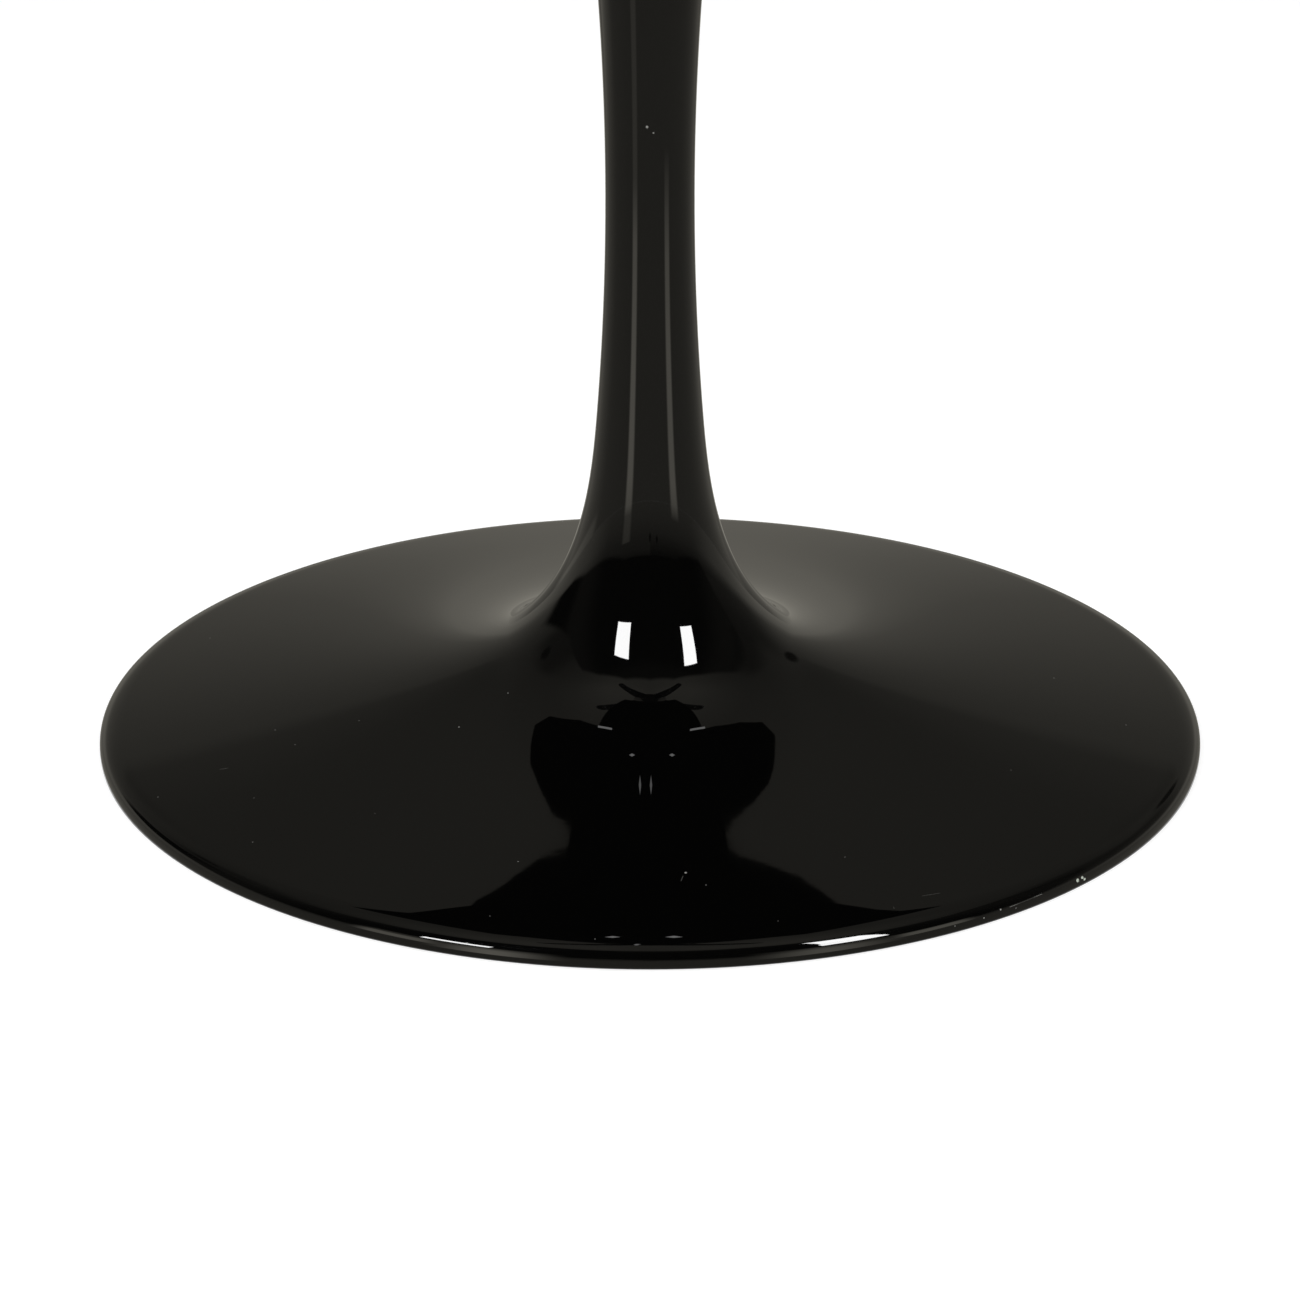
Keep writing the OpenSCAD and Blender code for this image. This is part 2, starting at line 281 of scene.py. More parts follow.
# Node helpers
class Nodes:
    """A short way to write the node tree of a material or of the world."""

    def __init__(self, name, world=False):
        self.owner = bpy.data.worlds.new(name) if world else bpy.data.materials.new(name)
        self.owner.use_nodes = True
        self.tree = self.owner.node_tree
        self.tree.nodes.clear()
        self.out = self.new("ShaderNodeOutputWorld" if world else "ShaderNodeOutputMaterial")

    def new(self, kind, **props):
        node = self.tree.nodes.new(kind)
        for key, value in props.items():
            setattr(node, key, value)
        return node

    def put(self, socket, value):
        if isinstance(value, bpy.types.NodeSocket):
            self.tree.links.new(value, socket)
        elif value is not None:
            socket.default_value = value

    def math(self, op, a, b=None, c=None, clamp=False):
        node = self.new("ShaderNodeMath", operation=op, use_clamp=clamp)
        for i, v in enumerate((a, b, c)):
            self.put(node.inputs[i], v)
        return node.outputs[0]

    def vec(self, op, a, b=None, scale=None):
        node = self.new("ShaderNodeVectorMath", operation=op)
        self.put(node.inputs[0], a)
        self.put(node.inputs[1], b)
        if scale is not None:
            self.put(node.inputs["Scale"], scale)
        return node.outputs["Value" if op in ("LENGTH", "DISTANCE", "DOT_PRODUCT") else "Vector"]

    def span(self, value, lo, hi, to_lo=0.0, to_hi=1.0, smooth=True):
        node = self.new("ShaderNodeMapRange", interpolation_type="SMOOTHSTEP" if smooth else "LINEAR")
        names = ("Value", "From Min", "From Max", "To Min", "To Max")
        for name, v in zip(names, (value, lo, hi, to_lo, to_hi)):
            self.put(node.inputs[name], v)
        return node.outputs[0]

    def noise(self, where, scale, detail=2.0, rough=0.5, distortion=0.0):
        node = self.new("ShaderNodeTexNoise")
        names = ("Vector", "Scale", "Detail", "Roughness", "Distortion")
        for name, v in zip(names, (where, scale, detail, rough, distortion)):
            self.put(node.inputs[name], v)
        return node.outputs["Fac"]

    def blend(self, fac, a, b):
        node = self.new("ShaderNodeMix", data_type="RGBA")
        for i, v in ((0, fac), (6, a), (7, b)):
            self.put(node.inputs[i], v)
        return node.outputs[2]

    def place(self):
        return self.new("ShaderNodeTexCoord").outputs["Object"]

    def bump(self, height, distance, strength=1.0, normal=None):
        node = self.new("ShaderNodeBump")
        node.inputs["Strength"].default_value = strength
        node.inputs["Distance"].default_value = distance
        self.put(node.inputs["Height"], height)
        self.put(node.inputs["Normal"], normal)
        return node.outputs[0]

    def shader(self, kind, **sockets):
        node = self.new("ShaderNode" + kind)
        for key, v in sockets.items():
            self.put(node.inputs[key.replace("_", " ")], v)
        return node.outputs[0]

    def show(self, shader):
        self.put(self.out.inputs[0], shader)
        return self.owner

    def shade(self, **sockets):
        return self.show(self.shader("BsdfPrincipled", **sockets))

    def either(self, fac, first, second):
        """The first shader where fac is 0 and the second where it is 1."""
        node = self.new("ShaderNodeMixShader")
        for i, v in enumerate((fac, first, second)):
            self.put(node.inputs[i], v)
        return node.outputs[0]

    def stored(self, name):
        """A number kept at the points of the mesh."""
        return self.new("ShaderNodeAttribute", attribute_name=name).outputs["Fac"]

    def seen(self):
        """1 for what the camera, a reflection or a transmission shows, 0 for soft light."""
        path = self.new("ShaderNodeLightPath")
        glossy, through = path.outputs["Is Glossy Ray"], path.outputs["Is Transmission Ray"]
        return self.math("MAXIMUM", path.outputs["Is Camera Ray"], self.math("MAXIMUM", glossy, through))


# Camera: where it stands, how far it looks down, and its focal length in the photo's pixels
PHOTO, SENSOR_MM = 1300, 36.0
CAM_DISTANCE, CAM_H, CAM_PITCH, FOCAL_PX = 2.2, 0.953775, math.radians(22.3628), 3845.72
cam = bpy.data.cameras.new("camera")
cam.sensor_fit, cam.sensor_width = "HORIZONTAL", SENSOR_MM
cam.lens = FOCAL_PX / PHOTO * SENSOR_MM
camera = bpy.data.objects.new("camera", cam)
camera.location = (0, -CAM_DISTANCE, CAM_H)
camera.rotation_euler = (math.pi / 2 - CAM_PITCH, 0, 0)
bpy.context.scene.collection.objects.link(camera)
bpy.context.scene.camera = camera


def ray(x, y):
    """The direction in which the camera sees a pixel of the photo."""
    right = Vector((1, 0, 0))
    ahead = Vector((0, math.cos(CAM_PITCH), -math.sin(CAM_PITCH)))
    up = Vector((0, math.sin(CAM_PITCH), math.cos(CAM_PITCH)))
    return (ahead * FOCAL_PX + right * (x - PHOTO / 2) - up * (y - PHOTO / 2)).normalized()


# Pedestal
def tapped_hole(b, c, top):
    """A blind hole from the head's flat top, with the grooves of its thread."""
    mouth, grooves = HEAD_MOUTH, (0.0, 0.22 * MM, 0.3 * MM, 0.12 * MM)
    rings = [(TAP_R + mouth, top), (TAP_R, top - mouth)]
    rows = len(grooves)
    for i in range(1, int((TAP_DEPTH - mouth) / M8_PITCH * rows)):
        rings.append((TAP_R + grooves[i % rows], top - mouth - i * M8_PITCH / rows))
    rings.append((TAP_R, top - TAP_DEPTH))
    b.turned(rings, c, TAP_SEGMENTS)
    b.disc(circle(TAP_R, c, TAP_SEGMENTS, top - TAP_DEPTH), (*c, top - TAP_DEPTH))


def glide_pocket(b, c, edge):
    """The shallow seat of a glide under the rim, with the hole for its peg."""
    seat, end = LIFT + POCKET_DEPTH, LIFT + PEG_HOLE_DEPTH
    b.turned([(POCKET_R + edge, LIFT), (POCKET_R, LIFT + edge), (POCKET_R, seat), (PEG_HOLE_R, seat),
              (PEG_HOLE_R, end)], c, POCKET_SEGMENTS, kind=2)
    b.disc(circle(PEG_HOLE_R, c, POCKET_SEGMENTS, end), (*c, end), 2)


def build_pedestal():
    """Kinds of face: 0 is the lacquer, 1 the rough cast inside, 2 the turned ring."""
    b = Build()
    outer = outer_outline()
    inner = inner_outline()
    b.turned(outer, lift=LIFT)
    # Flat top of the head, with the core hole and the four tapped holes
    top = LIFT + HEAD_H
    taps = around(4, SCREW_CIRCLE_R)
    mouths = [circle(TAP_R + HEAD_MOUTH, c, TAP_SEGMENTS) for c in taps]
    b.flat([circle(outer[-1].x), circle(CORE_R + HEAD_MOUTH)] + mouths, lambda x, y: top)
    for c in taps:
        tapped_hole(b, c, top)
    b.turned([(CORE_R + HEAD_MOUTH, top), (CORE_R, top - HEAD_MOUTH), (CORE_R, top - HEAD_T)])
    # The rough cast inside, then the machined ring under the rim with the pockets for the glides
    b.turned([Vector((CORE_R, HEAD_H - HEAD_T))] + list(inner), lift=LIFT, kind=1)
    seats = around(GLIDES, GLIDE_CIRCLE_R)
    edge = 0.3 * MM
    mouths = [circle(POCKET_R + edge, c, POCKET_SEGMENTS) for c in seats]
    b.flat([circle(outer[0].x), circle(inner[-1].x)] + mouths, lambda x, y: LIFT, 2)
    for c in seats:
        glide_pocket(b, c, edge)
    return b


# Spider
def to_arm(p, i):
    """A point given for an arm along +X, turned to one of the four arms."""
    a = math.radians(45 + 90 * i)
    return Vector((p.x * math.cos(a) - p.y * math.sin(a), p.x * math.sin(a) + p.y * math.cos(a)))


def under(x, y):
    """Height of the spider's underside: flat below the hub, rising along the arms."""
    along = max(to_arm(Vector((1, 0)), i).dot(Vector((x, y))) for i in range(4))
    end = ARM_REACH + ARM_TIP_R + 1 * MM
    return BASE_H - HUB_T + max(0, along - HUB_R) * (HUB_T - ARM_TIP_T) / (end - HUB_R)


def spider_outline():
    """The plan of hub and arms, counterclockwise, with the corners between them filled."""
    root_x = HUB_R - ARM_ROOT_R
    touch = math.asin((ARM_ROOT_R - ARM_TIP_R) / (ARM_REACH - root_x))
    side0 = Vector((root_x + ARM_ROOT_R * math.sin(touch), ARM_ROOT_R * math.cos(touch)))
    side1 = Vector((ARM_REACH + ARM_TIP_R * math.sin(touch), ARM_TIP_R * math.cos(touch)))
    d = (side1 - side0).normalized()
    # Where the arm's side leaves the hub's circle
    m = side0.dot(d)
    leave = side0 + d * (-m + math.sqrt(m * m - side0.dot(side0) + HUB_R * HUB_R))
    crease = side0 + d * ((HUB_R - side0.x) / d.x)
    leave_a = math.atan2(leave.y, leave.x)
    quarter = [Vector((crease.x, -crease.y))]
    quarter += [Vector((ARM_REACH + ARM_TIP_R * math.cos(a), ARM_TIP_R * math.sin(a)))
                for a in [(touch - math.pi / 2) + (math.pi - 2 * touch) * k / 32 for k in range(33)]]
    quarter.append(Vector((crease.x, crease.y)))
    gap = math.pi / 2 - 2 * leave_a
    fill = CORNER_RUN / HUB_R
    on_hub = HUB_R * Vector((math.cos(leave_a + fill), math.sin(leave_a + fill)))
    bend = rounded([leave + d * CORNER_RUN, leave, on_hub], {1}, CORNER_ROUND, 4)
    quarter += bend
    for k in range(1, 10):
        a = leave_a + fill + (gap - 2 * fill) * k / 10
        quarter.append(HUB_R * Vector((math.cos(a), math.sin(a))))
    quarter += [Vector((p.y, p.x)) for p in bend][::-1]
    out = [to_arm(p, i) for i in range(4) for p in quarter]
    low = Vector((crease.x, -crease.y))
    creases = [(tuple(to_arm(low, i)), tuple(to_arm(crease, i))) for i in range(4)]
    return out, creases


def set_in(loop, by):
    """The counterclockwise loop moved inwards."""
    out = []
    n = len(loop)
    for i, p in enumerate(loop):
        u, v = (p - loop[i - 1]).normalized(), (loop[(i + 1) % n] - p).normalized()
        nu, nv = Vector((-u.y, u.x)), Vector((-v.y, v.x))
        mid = (nu + nv).normalized()
        out.append(p + mid * by / max(0.4, mid.dot(nu)))
    return out


def build_spider():
    b = Build()
    plan, creases = spider_outline()
    loop = []
    for p in plan:
        if not loop or (p - loop[-1]).length > 0.05 * MM:
            loop.append(p)
    bevel, mouth, top = SPIDER_BEVEL, SPIDER_MOUTH, BASE_H
    ease = bevel * 0.3
    half = set_in(loop, ease)
    inset = set_in(loop, bevel)
    low_creases = [(tuple(inset[nearest(loop, a)]), tuple(inset[nearest(loop, c)])) for a, c in creases]
    ring = lambda pts, z: [(p.x, p.y, z(p.x, p.y)) for p in pts]
    b.rings([ring(inset, under), ring(half, lambda x, y: under(x, y) + ease),
             ring(loop, lambda x, y: under(x, y) + bevel), ring(loop, lambda x, y: top - bevel),
             ring(half, lambda x, y: top - ease), ring(inset, lambda x, y: top)])
    bores = around(4, SCREW_CIRCLE_R)
    wood = [c for r in WOOD_CIRCLES for c in around(4, r, math.pi / 4)]
    bore_n, wood_n, spigot_n, hole_n = 48, 32, 96, 64
    hub_mouth = circle(HUB_HOLE_R + mouth, segments=hole_n)
    b.flat([inset, hub_mouth] + [circle(BORE_R + mouth, c, bore_n) for c in bores]
           + [circle(WOOD_R + mouth, c, wood_n) for c in wood], lambda x, y: top)
    b.flat([inset, circle(SPIGOT_R, segments=spigot_n)] + [circle(CLEAR_R + mouth, c, bore_n) for c in bores]
           + [circle(WOOD_SINK_R, c, wood_n) for c in wood], under, creases=low_creases)
    seat, hub_low = top - BORE_DEPTH, top - HUB_T
    for c in bores:
        b.turned([(BORE_R + mouth, top), (BORE_R, top - mouth), (BORE_R, seat), (CLEAR_R, seat),
                  (CLEAR_R, hub_low + mouth), (CLEAR_R + mouth, hub_low)], c, bore_n)
    for c in wood:
        cone = [(x, y, under(x, y)) for x, y in circle(WOOD_SINK_R, c, wood_n)]
        wall = [circle(WOOD_R, c, wood_n, z) for z in (under(*c) + WOOD_SINK, top - mouth)]
        b.rings([cone, *wall, circle(WOOD_R + mouth, c, wood_n, top)])
    tip, tip_r = hub_low - SPIGOT_H, SPIGOT_R - SPIGOT_EDGE
    b.turned([(SPIGOT_R, hub_low), (SPIGOT_R, tip + SPIGOT_EDGE), (tip_r, tip)], segments=spigot_n)
    b.flat([circle(tip_r, segments=spigot_n), hub_mouth], lambda x, y: tip)
    b.turned([(HUB_HOLE_R + mouth, tip), (HUB_HOLE_R, tip + mouth), (HUB_HOLE_R, top - mouth),
              (HUB_HOLE_R + mouth, top)], segments=hole_n)
    return b


# Screws and glides
def screw_head(b, c, seat, n):
    """A domed button head with a hexagon key hole."""
    head_h, cap_r, flat_r = 4.4 * MM, 7.768 * MM, 3.1 * MM
    key_r, key_depth, key_point = 5 * MM / 2 / math.cos(math.pi / 6), 2.6 * MM, 0.8 * MM
    cap = lambda r: seat + head_h - cap_r + math.sqrt(cap_r * cap_r - r * r)
    z_top = cap(flat_r)
    corners = [Vector(p) for p in around(6, key_r)]
    key = []
    for p, q in zip(corners, corners[1:] + corners[:1]):
        key += [Vector(c) + p.lerp(q, t / 4) for t in range(4)]
    b.flat([circle(flat_r, c, n), key], lambda x, y: z_top)
    floor_z = seat + head_h - key_depth
    b.rings([[(*p, z_top) for p in key], [(*p, floor_z) for p in key]])
    b.disc([(*p, floor_z) for p in key], (*c, floor_z - key_point))
    dome = [(r * MM, cap(r * MM)) for r in (3.1, 3.5, 4.0, 4.5, 5.0, 5.5, 6.0, 6.4)]
    edge = [(6.75, 0.75), (6.95, 0.4), (6.95, 0.15), (6.8, 0.0), (4.0, 0.0)]
    b.turned(dome + [(r * MM, seat + z * MM) for r, z in edge], c, n)


def screw_shank(b, c, seat, n):
    """The shank with its thread, which runs as a helix and fades at both ends."""
    length, rows, thread_depth, shank_r, point_r = 25 * MM, 6, 0.55 * MM, 4 * MM, 3 * MM
    count = int((length - 1 * MM) / M8_PITCH * rows)
    rings = []
    for i in range(count + 1):
        z = seat - i * M8_PITCH / rows
        fade = max(0.0, min(1.0, i / (2 * rows), (count - i) / rows))
        line = []
        for j in range(n):
            a = 2 * math.pi * j / n
            wave = abs(((i / rows + j / n) % 1.0) * 2 - 1)
            r = shank_r - thread_depth * wave * fade
            line.append((c[0] + r * math.cos(a), c[1] + r * math.sin(a), z))
        rings.append(line)
    b.rings(rings)
    b.turned([(shank_r, seat - count * M8_PITCH / rows), (point_r, seat - length)], c, n)
    b.disc(circle(point_r, c, n, seat - length), (*c, seat - length))


def build_screws():
    b = Build()
    seat, n = BASE_H - BORE_DEPTH, 48
    for c in around(4, SCREW_CIRCLE_R):
        screw_head(b, c, seat, n)
        screw_shank(b, c, seat, n)
    return b


def build_glide(i):
    """A button with a shallow dimple in its sole, and a peg with two grooves; radius and height in mm."""
    b = Build()
    c = around(GLIDES, GLIDE_CIRCLE_R)[i % GLIDES]
    dimple_r, dimple_z, middle_z, peg_end_r, peg_end_z = 1.2, 0.25, 0.32, 2.9, 9.0
    button = [(dimple_r, dimple_z), (1.5, 0.02), (2.0, 0.0), (8.4, 0.0), (8.75, 0.12), (8.95, 0.35),
              (9.0, 0.6), (9.0, 2.7), (8.9, 2.92), (8.7, 3.0)]
    peg = [(3.5, 3.0), (3.5, 4.4), (3.42, 4.6), (3.5, 4.8), (3.5, 6.2), (3.42, 6.4), (3.5, 6.6), (3.5, 8.2),
           (peg_end_r, peg_end_z)]
    b.disc(circle(dimple_r * MM, c, GLIDE_SEGMENTS, dimple_z * MM), (*c, middle_z * MM))
    b.turned([(r * MM, z * MM) for r, z in button + peg], c, GLIDE_SEGMENTS)
    b.disc(circle(peg_end_r * MM, c, GLIDE_SEGMENTS, peg_end_z * MM), (*c, peg_end_z * MM))
    return b


# Materials
def paint(spots, marks, chips):
    """Black gloss lacquer with its faint ripple, dust and the few marks of use that the foot shows."""
    n = Nodes("black_gloss_lacquer")
    place = n.place()
    ripple = n.noise(place, 95.0, 2.0, 0.4)
    long_wave = n.noise(place, 14.0, 1.0, 0.5)
    normal = n.bump(ripple, 0.00001, 0.35)
    normal = n.bump(long_wave, 0.00006, 0.35, normal)
    # Fine dust: one grain in a cell of a coarse lattice, and only in few cells
    cells = n.new("ShaderNodeTexVoronoi", feature="F1", voronoi_dimensions="3D")
    cells.inputs["Scale"].default_value = 30.0
    n.put(cells.inputs["Vector"], place)
    chance = n.new("ShaderNodeSeparateColor")
    n.put(chance.inputs[0], cells.outputs["Color"])
    few = n.math("GREATER_THAN", chance.outputs[0], 0.93)
    grain = n.math("MULTIPLY", n.math("LESS_THAN", cells.outputs["Distance"], 0.008), few)
    dust = grain
    for at, r, strength in spots:
        d = n.vec("DISTANCE", place, at)
        dust = n.math("MAXIMUM", dust, n.span(d, r, r * 0.45, 0.0, strength))
    for a, c, r, strength in marks:
        along = c - a
        from_a = n.vec("SUBTRACT", place, a)
        share = n.math("DIVIDE", n.vec("DOT_PRODUCT", from_a, along), along.length_squared, clamp=True)
        back = n.vec("SCALE", along, scale=share)
        d = n.vec("LENGTH", n.vec("SUBTRACT", from_a, back))
        dust = n.math("MAXIMUM", dust, n.span(d, r, r * 0.3, 0.0, strength))
    bare = None
    for at, r in chips:
        wobble = n.math("MULTIPLY_ADD", n.noise(place, 900.0, 2.0), 0.9 * r, 0.55 * r)
        chip = n.math("LESS_THAN", n.vec("DISTANCE", place, at), wobble)
        bare = chip if bare is None else n.math("MAXIMUM", bare, chip)
    haze = n.span(n.noise(place, 9.0, 3.0, 0.6), 0.45, 0.75)
    colour = n.blend(dust, (0.0011, 0.0011, 0.00105, 1), (0.34, 0.34, 0.32, 1))
    rough = n.math("MULTIPLY_ADD", haze, 0.012, 0.022)
    rough = n.math("MULTIPLY_ADD", dust, 0.4, rough)
    if bare is not None:
        colour = n.blend(bare, colour, (0.55, 0.60, 0.52, 1))
        rough = n.math("MULTIPLY_ADD", bare, 0.35, rough)
        normal = n.bump(bare, -0.0002, 0.6, normal)
    return n.shade(Base_Color=colour, Roughness=rough, Normal=normal, Metallic=0.0, IOR=1.5)


def cast_inside():
    """The inside of the casting: a thin spray of primer over the sand-cast skin."""
    n = Nodes("cast_inside_primer")
    place = n.place()
    grit = n.noise(place, 420.0, 4.0, 0.65)
    lumps = n.noise(place, 60.0, 3.0, 0.55)
    colour = n.blend(n.span(lumps, 0.35, 0.7), (0.022, 0.022, 0.022, 1), (0.055, 0.055, 0.056, 1))
    normal = n.bump(grit, 0.0004, 0.5)
    normal = n.bump(lumps, 0.0012, 0.4, normal)
    rough = n.span(grit, 0.3, 0.7, 0.5, 0.75)
    return n.shade(Base_Color=colour, Roughness=rough, Normal=normal, Metallic=0.0)


def machined_ring():
    """The turned face under the rim and the pockets: bare aluminium with fine rings."""
    n = Nodes("turned_aluminium")
    place = n.place()
    apart = n.new("ShaderNodeSeparateXYZ")
    n.put(apart.inputs[0], place)
    flat = n.new("ShaderNodeCombineXYZ")
    n.put(flat.inputs[0], apart.outputs[0])
    n.put(flat.inputs[1], apart.outputs[1])
    radius = n.vec("LENGTH", flat.outputs[0])
    rings = n.math("SINE", n.math("MULTIPLY", radius, 9000.0))
    stain = n.noise(place, 35.0, 4.0, 0.6)
    colour = n.blend(n.span(stain, 0.4, 0.75), (0.60, 0.60, 0.60, 1), (0.42, 0.42, 0.41, 1))
    return n.shade(Base_Color=colour, Metallic=1.0, Roughness=n.span(stain, 0.3, 0.8, 0.28, 0.45),
                   Normal=n.bump(rings, 0.00002, 0.5))


def powder_coat():
    """Satin black powder coat with its fine grain."""
    n = Nodes("satin_black_powder")
    place = n.place()
    grain = n.noise(place, 1100.0, 2.0, 0.5)
    cloud = n.noise(place, 45.0, 3.0, 0.6)
    rub = n.span(n.noise(place, 160.0, 3.0, 0.7), 0.66, 0.74)
    colour = n.blend(n.span(cloud, 0.3, 0.7), (0.018, 0.018, 0.018, 1), (0.028, 0.028, 0.028, 1))
    colour = n.blend(n.math("MULTIPLY", rub, 0.25), colour, (0.09, 0.09, 0.09, 1))
    return n.shade(Base_Color=colour, Roughness=n.span(cloud, 0.3, 0.7, 0.36, 0.46), Metallic=0.0,
                   Normal=n.bump(grain, 0.00012, 0.35))


def zinc():
    """Zinc-plated steel, a little clouded."""
    n = Nodes("zinc_plate")
    place = n.place()
    cloud = n.noise(place, 300.0, 3.0, 0.6)
    fine = n.noise(place, 3000.0, 1.0, 0.5)
    colour = n.blend(n.span(cloud, 0.35, 0.7), (0.60, 0.61, 0.64, 1), (0.47, 0.48, 0.50, 1))
    return n.shade(Base_Color=colour, Metallic=1.0, Roughness=n.span(cloud, 0.3, 0.7, 0.22, 0.38),
                   Normal=n.bump(fine, 0.00001, 0.3))


def nylon():
    """Black moulded nylon, scuffed on the sole."""
    n = Nodes("black_nylon")
    place = n.place()
    apart = n.new("ShaderNodeSeparateXYZ")
    n.put(apart.inputs[0], place)
    sole = n.span(apart.outputs[2], 0.0005, 0.00005)
    scuff = n.math("MULTIPLY", sole, n.span(n.noise(place, 700.0, 4.0, 0.7), 0.45, 0.65))
    grain = n.noise(place, 2500.0, 2.0, 0.5)
    colour = n.blend(scuff, (0.016, 0.016, 0.017, 1), (0.10, 0.10, 0.10, 1))
    return n.shade(Base_Color=colour, Roughness=n.math("MULTIPLY_ADD", scuff, 0.2, 0.5), Metallic=0.0,
                   Normal=n.bump(grain, 0.00004, 0.3))


# Pieces
shape = build_pedestal()
probe = BVHTree.FromPolygons([Vector(v) for v in shape.verts], shape.faces)


def on_part(x, y):
    """The point of the pedestal that the photo shows at a pixel."""
    return probe.ray_cast(camera.location, ray(x, y))[0]


def mirrored(x, y):
    """The point of the pedestal at a pixel of the photo, and the direction that its gloss shows there."""
    line = outer_outline()
    p = on_part(x, y)
    at = Vector((math.hypot(p.x, p.y), p.z - LIFT))
    k = min(range(2, len(line) - 2), key=lambda i: (line[i] - at).length)
    along = line[k + 1] - line[k - 1]
    share = max(-1.0, min(1.0, (at - line[k]).dot(along) / along.length_squared * 2))
    k2 = k + (1 if share > 0 else -1)
    runs = [(line[i + 1] - line[i - 1]).normalized() for i in (k, k2)]
    run = runs[0].lerp(runs[1], abs(share))
    normal = Vector((run.y * p.x / at.x, run.y * p.y / at.x, -run.x)).normalized()
    return p, ray(x, y).reflect(normal)


# Marks read from the photo, in its pixels: x, y, radius in mm, strength
DUST = [(508, 693, 0.56, 0.63), (459, 727, 0.69, 0.73), (275, 730, 0.50, 0.53), (295, 744.6, 0.50, 0.53),
        (359, 720.6, 0.44, 0.42), (252.5, 842, 0.50, 0.53), (158, 797, 0.44, 0.53), (254, 798, 0.44, 0.42),
        (375, 813.5, 0.38, 0.32), (210, 638, 0.50, 0.53), (1011, 770, 0.44, 0.38), (1126, 725, 0.56, 0.53),
        (1054, 678, 0.50, 0.53), (685.7, 872.7, 0.88, 0.95), (706, 885, 0.50, 0.53), (518, 861.5, 0.56, 0.63),
        (845, 857, 0.44, 0.46), (595, 939, 0.44, 0.53), (490, 916, 0.44, 0.42), (894, 908, 0.38, 0.38),
        (778, 921, 0.38, 0.38), (647, 127, 1.00, 0.84), (653.5, 133, 0.69, 0.63), (1000.7, 909.6, 0.69, 0.95),
        (1016, 908, 0.44, 0.73), (984, 918, 0.56, 0.84), (955, 926, 0.50, 0.63)]
# From one pixel to another, radius in mm, strength
SCRATCHES = [(1010, 907, 1042, 894, 0.28, 0.40), (220, 769.5, 228, 768, 0.25, 0.25),
             (922, 896, 940, 893, 0.22, 0.15), (683, 876, 681, 881, 0.22, 0.25)]
# Pixel and radius in mm
CHIPS = [(1077.7, 880.4, 1.1), (1082.3, 877.5, 0.9), (1084.6, 879, 0.8)]

spots = [(on_part(x, y), r * MM, k) for x, y, r, k in DUST]
marks = [(on_part(x0, y0), on_part(x1, y1), r * MM, k) for x0, y0, x1, y1, r, k in SCRATCHES]
chips = [(on_part(x, y), r * MM) for x, y, r in CHIPS]

pedestal = shape.piece("pedestal_casting", [paint(spots, marks, chips), cast_inside(), machined_ring()])
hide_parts("pedestal")

spider = build_spider().piece("spider_casting", [powder_coat()])
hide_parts("tabletop_spider")

screws = build_screws().piece("button_screws", [zinc()])
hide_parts("spider_screws")

glide_look = nylon()
for i in range(1, GLIDES + 1):
    glide = build_glide(i).piece("glide_%d" % i, [glide_look])
    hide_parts("floor_glide_%d" % i)


# Studio: the gloss mirrors a dome, a floor and a few cards, which nothing else shows
TINT = (1.0, 0.955, 0.83, 1)


def unseen(obj):
    """A card of the studio that only the gloss shows."""
    obj.visible_camera = obj.visible_diffuse = obj.visible_transmission = False
    obj.visible_volume_scatter = obj.visible_shadow = False


def glow(name, level, tint=WHITE, one_sided=False):
    """A plain glow; a one-sided card is clear when it is met from behind."""
    n = Nodes(name)
    light = n.shader("Emission", Color=tint, Strength=level)
    if one_sided:
        backs = n.new("ShaderNodeNewGeometry").outputs["Backfacing"]
        light = n.either(backs, light, n.shader("BsdfTransparent"))
    return n.show(light)


def mesh_object(name, verts, faces, material):
    mesh = bpy.data.meshes.new(name)
    mesh.from_pydata([tuple(v) for v in verts], [], faces)
    mesh.materials.append(material)
    obj = bpy.data.objects.new(name, mesh)
    bpy.context.scene.collection.objects.link(obj)
    return obj


def store(obj, name, rows):
    """Keeps a number at every point of a grid, for the material to read."""
    layer = obj.data.attributes.new(name, "FLOAT", "POINT")
    layer.data.foreach_set("value", [v for row in rows for v in row])


def shaded_grid(name, grid, levels):
    """Rings of points that close on themselves, with a brightness at every point."""
    n = len(grid[0])
    faces = [(i * n + j, i * n + (j + 1) % n, (i + 1) * n + (j + 1) % n, (i + 1) * n + j)
             for i in range(len(grid) - 1) for j in range(n)]
    look = Nodes(name + "_glow")
    look.show(look.shader("Emission", Color=TINT, Strength=look.stored("level")))
    obj = mesh_object(name, [p for ring in grid for p in ring], faces, look.owner)
    store(obj, "level", levels)
    unseen(obj)
    return obj


def direction(az, el):
    """Compass direction, from +Y (behind the object) towards +X, and elevation, in degrees."""
    a, e = math.radians(az), math.radians(el)
    return Vector((math.sin(a) * math.cos(e), math.cos(a) * math.cos(e), math.sin(e)))


def step(v, lo, hi):
    t = max(0.0, min(1.0, (v - lo) / (hi - lo)))
    return t * t * (3 - 2 * t)


def within(v, start, full, fade, end):
    """1 inside a range, with a soft start and a soft end."""
    return step(v, start, full) * (1 - step(v, fade, end))


def mix(a, b, t):
    return a + (b - a) * t


def table(v, pairs):
    """A value read from a short table of (place, value), straight between the entries."""
    if v <= pairs[0][0]:
        return pairs[0][1]
    for (x0, y0), (x1, y1) in zip(pairs, pairs[1:]):
        if v <= x1:
            return mix(y0, y1, (v - x0) / (x1 - x0))
    return pairs[-1][1]


def apart(a, b):
    """Degrees between two compass directions."""
    return abs((a - b + 180) % 360 - 180)


